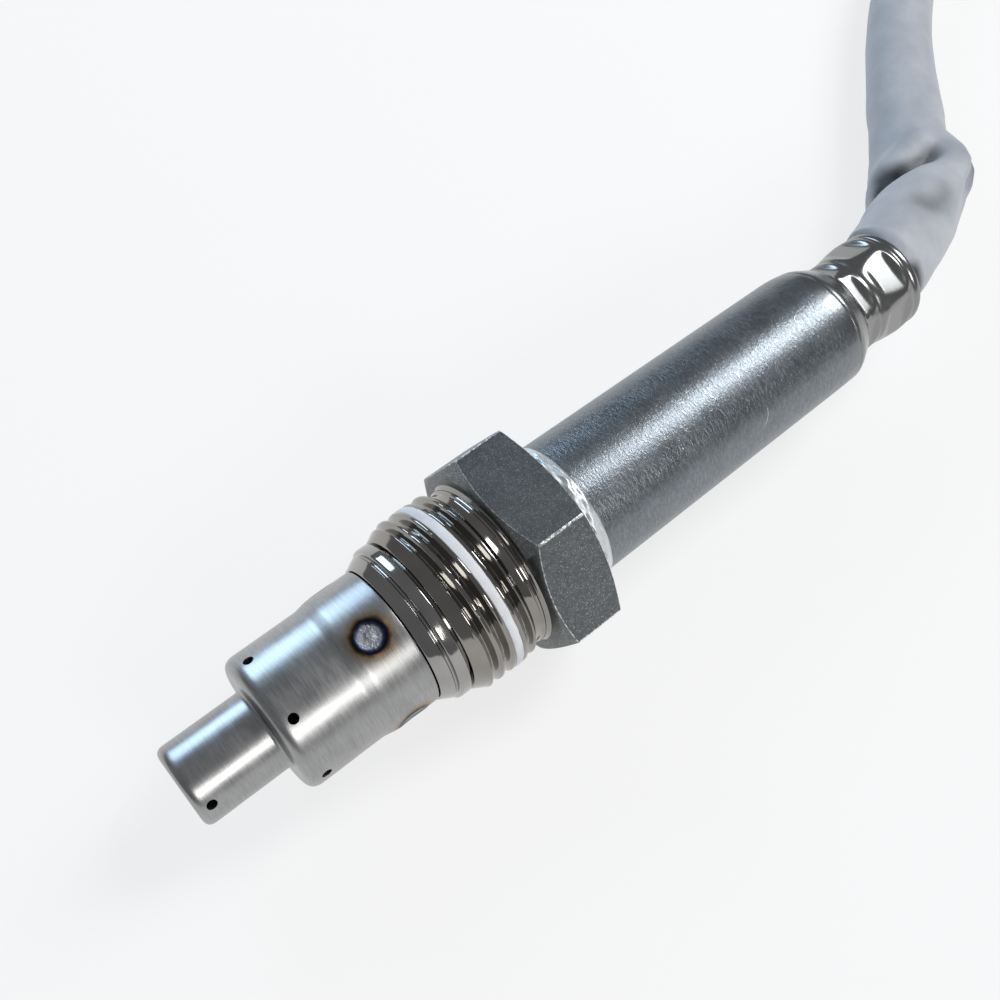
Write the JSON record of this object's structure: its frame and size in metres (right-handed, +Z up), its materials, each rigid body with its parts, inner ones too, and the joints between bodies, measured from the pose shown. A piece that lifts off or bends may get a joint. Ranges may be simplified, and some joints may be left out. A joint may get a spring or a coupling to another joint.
{
  "type": "nitrogen oxide sensor probe",
  "caption": "Exhaust gas probe with a stepped vented cap, a freely turning threaded union nut, a long crimped steel sleeve and a coiled lead that ends in a connector.",
  "frame": {"origin": "middle of the hexagon's lower flat, on which the probe lies", "axes": "+X along the probe from its vented tip towards the lead, +Z up, away from the surface that it lies on"},
  "size_m": [0.2629, 0.093, 0.0239],
  "materials": {
    "cap_steel": "satin drawn stainless steel with heat tinted weld spots",
    "plated_steel": "bright turned nickel plated steel",
    "nut_steel": "bright plated thread, fine blasted hexagon",
    "paste": "dried white anti-seize paste",
    "bead_steel": "rough silvery weld bead",
    "sleeve_steel": "satin ground steel with fine scratches, polished at the crimp",
    "element_ceramic": "matt ceramic",
    "white_ceramic": "matt ceramic",
    "powder": "pressed mineral powder",
    "spring_steel": "bright spring steel",
    "contact_alloy": "bright contact alloy",
    "wire_insulation": "smooth wire insulation",
    "black_rubber": "matt rubber",
    "lead_sleeve": "soft blue grey silicone coated sleeve",
    "connector_plastic": "fine grained black moulding",
    "seal_silicone": "soft silicone",
    "lock_plastic": "smooth moulding"
  },
  "bodies": {
    "probe": {"outer_cap": "cap_steel", "inner_cap": "cap_steel", "probe_shell": "plated_steel", "sleeve_weld_bead": "bead_steel", "rear_sleeve": "sleeve_steel", "sensing_element": "element_ceramic", "front_insulator": "white_ceramic", "powder_packing": "powder", "rear_insulator": "white_ceramic", "press_ring": "plated_steel", "contact_holder": "white_ceramic", "contact_clamp": "spring_steel", "contact_springs": "contact_alloy", "lead_wires": "wire_insulation", "seal_plug": "black_rubber", "lead_tube": "lead_sleeve", "lead_coil": "lead_sleeve", "lead_tail": "lead_sleeve", "connector_housing": "connector_plastic", "connector_terminals": "contact_alloy", "connector_ring_seal": "seal_silicone", "connector_lock": "lock_plastic", "connector_boot": "black_rubber"},
    "nut": {"union_nut": "nut_steel", "antiseize_paste": "paste"}
  },
  "joints": [
    {"name": "nut_turn", "type": "hinge", "parent": "probe", "child": "nut", "pos_m": [0, 0, 0.011], "axis": [1, 0, 0], "continuous": true}
  ]
}
